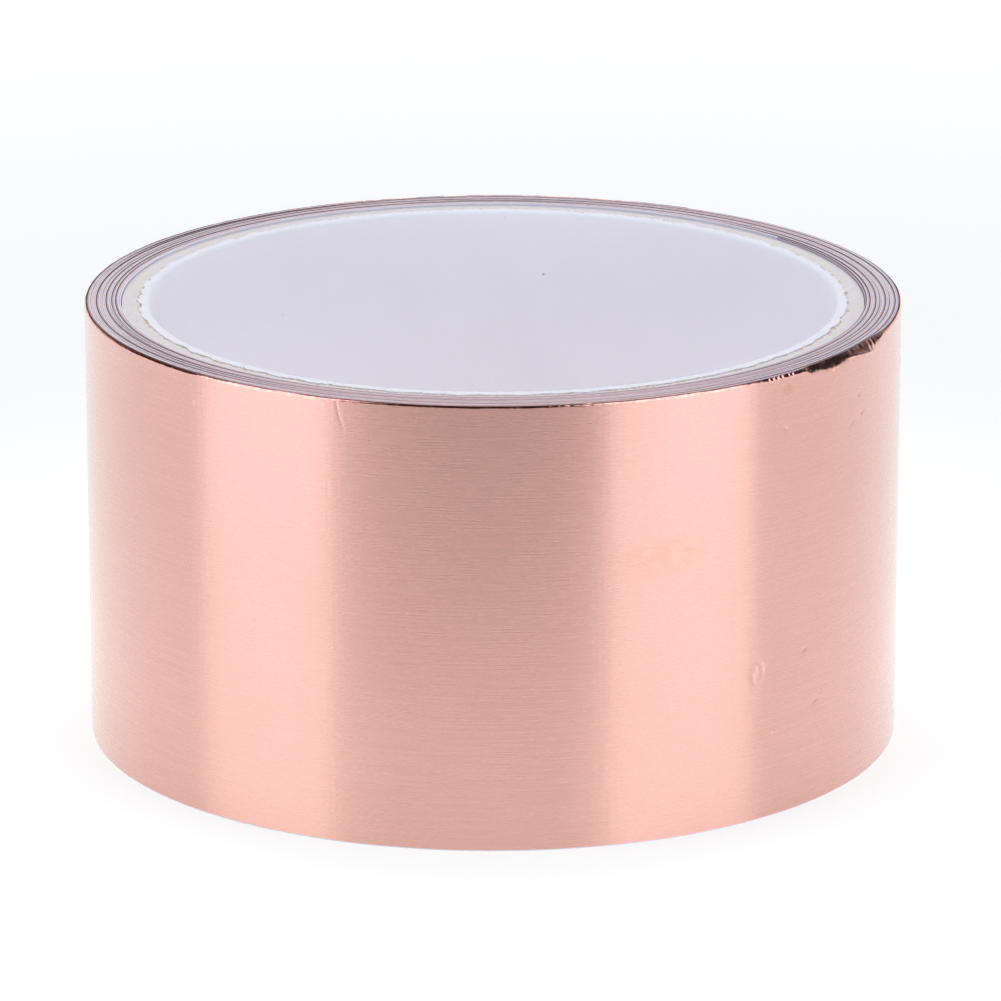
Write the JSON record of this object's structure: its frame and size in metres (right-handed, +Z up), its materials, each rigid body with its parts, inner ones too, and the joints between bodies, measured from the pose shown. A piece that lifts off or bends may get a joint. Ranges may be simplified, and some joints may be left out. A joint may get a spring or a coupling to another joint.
{
  "type": "copper foil tape roll",
  "caption": "Roll of adhesive-backed copper foil tape with a paper release liner, spirally wound on a round paper core with an open bore and a free outer end.",
  "frame": {"origin": "centre of the core's bore at the bottom face, which the roll stands on", "axes": "+Z up along the roll's axis; -Y is the front; seen from above the strip winds clockwise outward and its free end lies at 60 degrees from +X towards +Y"},
  "size_m": [0.0917, 0.0919, 0.05],
  "materials": {
    "core_white_paper": "smooth white liner ply, slightly fibrous at its torn end",
    "core_board": "grey-white pressed board, cut end",
    "core_wrapper": "thin pale wrapper paper",
    "starter_tab": "double-sided tissue tape",
    "release_liner": "smooth lavender-white release paper with a light silicone sheen",
    "adhesive": "clear tacky acrylic, hazy",
    "copper_foil": "bright rolled copper with fine lengthwise rolling grain"
  },
  "bodies": {
    "roll": {"core_inner_ply": "core_white_paper", "core_board_ply": "core_board", "core_outer_ply": "core_wrapper", "start_tab": "starter_tab", "liner_winding": "release_liner", "liner_outer_turns": "release_liner", "adhesive_winding": "adhesive", "foil_winding": "copper_foil"},
    "tail_1": {"liner_tail_1": "release_liner", "adhesive_tail_1": "adhesive", "foil_tail_1": "copper_foil"},
    "tail_2": {"liner_tail_2": "release_liner", "adhesive_tail_2": "adhesive", "foil_tail_2": "copper_foil"},
    "tail_3": {"liner_tail_3": "release_liner", "adhesive_tail_3": "adhesive", "foil_tail_3": "copper_foil"},
    "tail_4": {"liner_tail_4": "release_liner", "adhesive_tail_4": "adhesive", "foil_tail_4": "copper_foil"},
    "tail_5": {"liner_tail_5": "release_liner", "adhesive_tail_5": "adhesive", "foil_tail_5": "copper_foil"},
    "peel_end": {"peel_adhesive": "adhesive", "peel_foil": "copper_foil"}
  },
  "joints": [
    {"name": "unwind_1", "type": "hinge", "parent": "roll", "child": "tail_1", "pos_m": [-0.02695, 0.03727, 0.025], "axis": [0, 0, 1], "range_deg": [0, 12]},
    {"name": "unwind_2", "type": "hinge", "parent": "tail_1", "child": "tail_2", "pos_m": [-0.01862, 0.04208, 0.025], "axis": [0, 0, 1], "range_deg": [0, 12]},
    {"name": "unwind_3", "type": "hinge", "parent": "tail_2", "child": "tail_3", "pos_m": [-0.00948, 0.04505, 0.025], "axis": [0, 0, 1], "range_deg": [0, 12]},
    {"name": "unwind_4", "type": "hinge", "parent": "tail_3", "child": "tail_4", "pos_m": [0.00008, 0.04606, 0.025], "axis": [0, 0, 1], "range_deg": [0, 12]},
    {"name": "unwind_5", "type": "hinge", "parent": "tail_4", "child": "tail_5", "pos_m": [0.00965, 0.04505, 0.025], "axis": [0, 0, 1], "range_deg": [0, 12]},
    {"name": "foil_peel", "type": "hinge", "parent": "tail_5", "child": "peel_end", "pos_m": [0.0143, 0.04381, 0.025], "axis": [0, 0, 1], "range_deg": [0, 80]}
  ],
  "couplings": [
    {"joint": "unwind_2", "follows": "unwind_1", "ratio": 1},
    {"joint": "unwind_3", "follows": "unwind_1", "ratio": 1},
    {"joint": "unwind_4", "follows": "unwind_1", "ratio": 1},
    {"joint": "unwind_5", "follows": "unwind_1", "ratio": 1}
  ]
}
